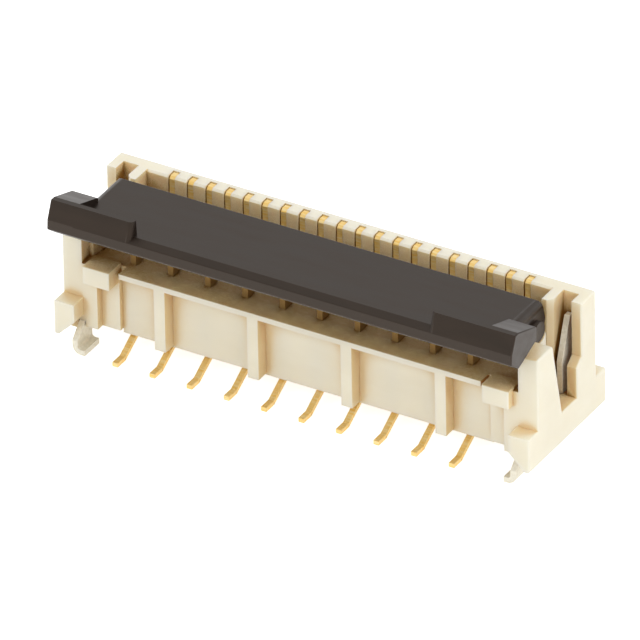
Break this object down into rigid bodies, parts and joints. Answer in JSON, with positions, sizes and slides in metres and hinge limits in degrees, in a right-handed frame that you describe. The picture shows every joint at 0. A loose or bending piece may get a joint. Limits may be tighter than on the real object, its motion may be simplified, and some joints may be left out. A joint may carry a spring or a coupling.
{
  "type": "fpc connector",
  "caption": "Top-entry surface-mount connector for a flat flexible cable, with gold-plated contacts, solder fittings at both ends and a dark flip actuator that locks the cable.",
  "frame": {"origin": "on the board plane, under the middle of the contact row and of the housing's depth", "axes": "+X along the row of contacts, -Y the side that the actuator opens towards, +Z away from the board"},
  "size_m": [0.0126, 0.0041, 0.0043],
  "materials": {
    "housing_plastic": "ivory moulded liquid-crystal polymer, fine matt",
    "actuator_plastic": "dark brown-grey glass-filled moulded plastic, fine matt",
    "contact_gold": "gold-plated phosphor bronze, stamped",
    "fitting_tin": "tin-plated copper alloy, stamped and bent, satin"
  },
  "bodies": {
    "base": {"housing": "housing_plastic", "fitting_right": "fitting_tin", "fitting_left": "fitting_tin", "contact_01": "contact_gold", "contact_02": "contact_gold", "contact_03": "contact_gold", "contact_04": "contact_gold", "contact_05": "contact_gold", "contact_06": "contact_gold", "contact_07": "contact_gold", "contact_08": "contact_gold", "contact_09": "contact_gold", "contact_10": "contact_gold", "contact_11": "contact_gold", "contact_12": "contact_gold", "contact_13": "contact_gold", "contact_14": "contact_gold", "contact_15": "contact_gold", "contact_16": "contact_gold", "contact_17": "contact_gold", "contact_18": "contact_gold", "contact_19": "contact_gold", "contact_20": "contact_gold"},
    "lever": {"actuator": "actuator_plastic"}
  },
  "joints": [
    {"name": "actuator_hinge", "type": "hinge", "parent": "base", "child": "lever", "pos_m": [0, -0.0003, 0.00335], "axis": [-1, 0, 0], "range_deg": [0, 90]}
  ]
}
